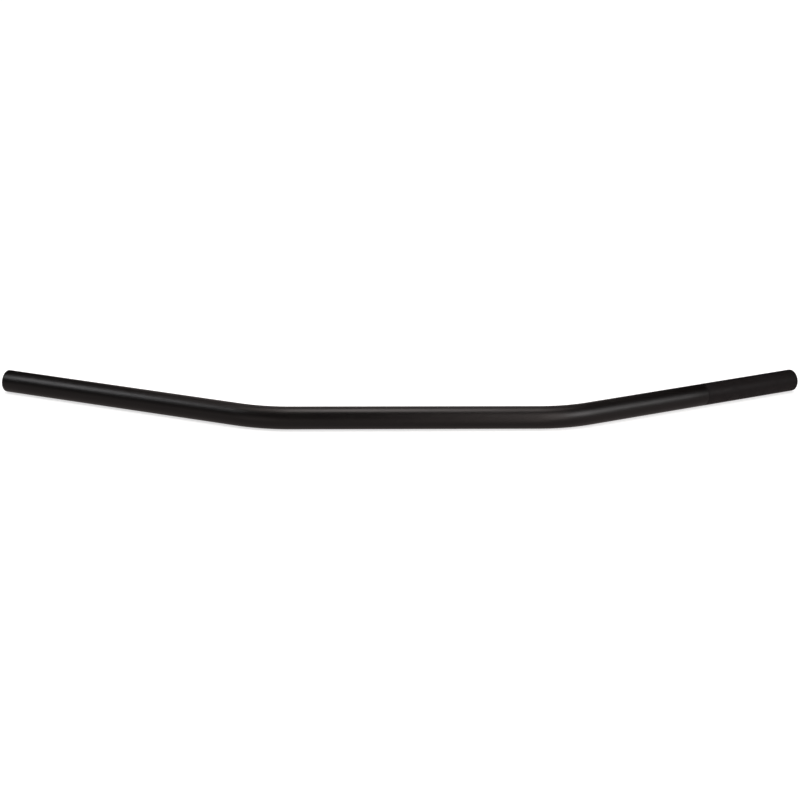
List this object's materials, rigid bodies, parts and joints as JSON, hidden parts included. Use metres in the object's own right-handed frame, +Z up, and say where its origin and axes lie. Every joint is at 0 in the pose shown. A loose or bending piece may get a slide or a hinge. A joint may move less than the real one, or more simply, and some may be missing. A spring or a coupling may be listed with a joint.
{
  "type": "motorcycle handlebar",
  "caption": "Flat motorcycle handlebar: a bent round steel tube with a straight clamped middle, arms swept back to the rider, open ends and a knurled grip length.",
  "frame": {"origin": "on the tube's axis, in the middle of the straight length that the risers clamp", "axes": "+X along the bar to the rider's left hand (the knurled end), +Y back towards the rider, +Z up"},
  "size_m": [0.9394, 0.1883, 0.0256],
  "materials": {
    "satin_black": "satin"
  },
  "bodies": {
    "root": {"handlebar_tube": "satin_black"}
  },
  "joints": []
}
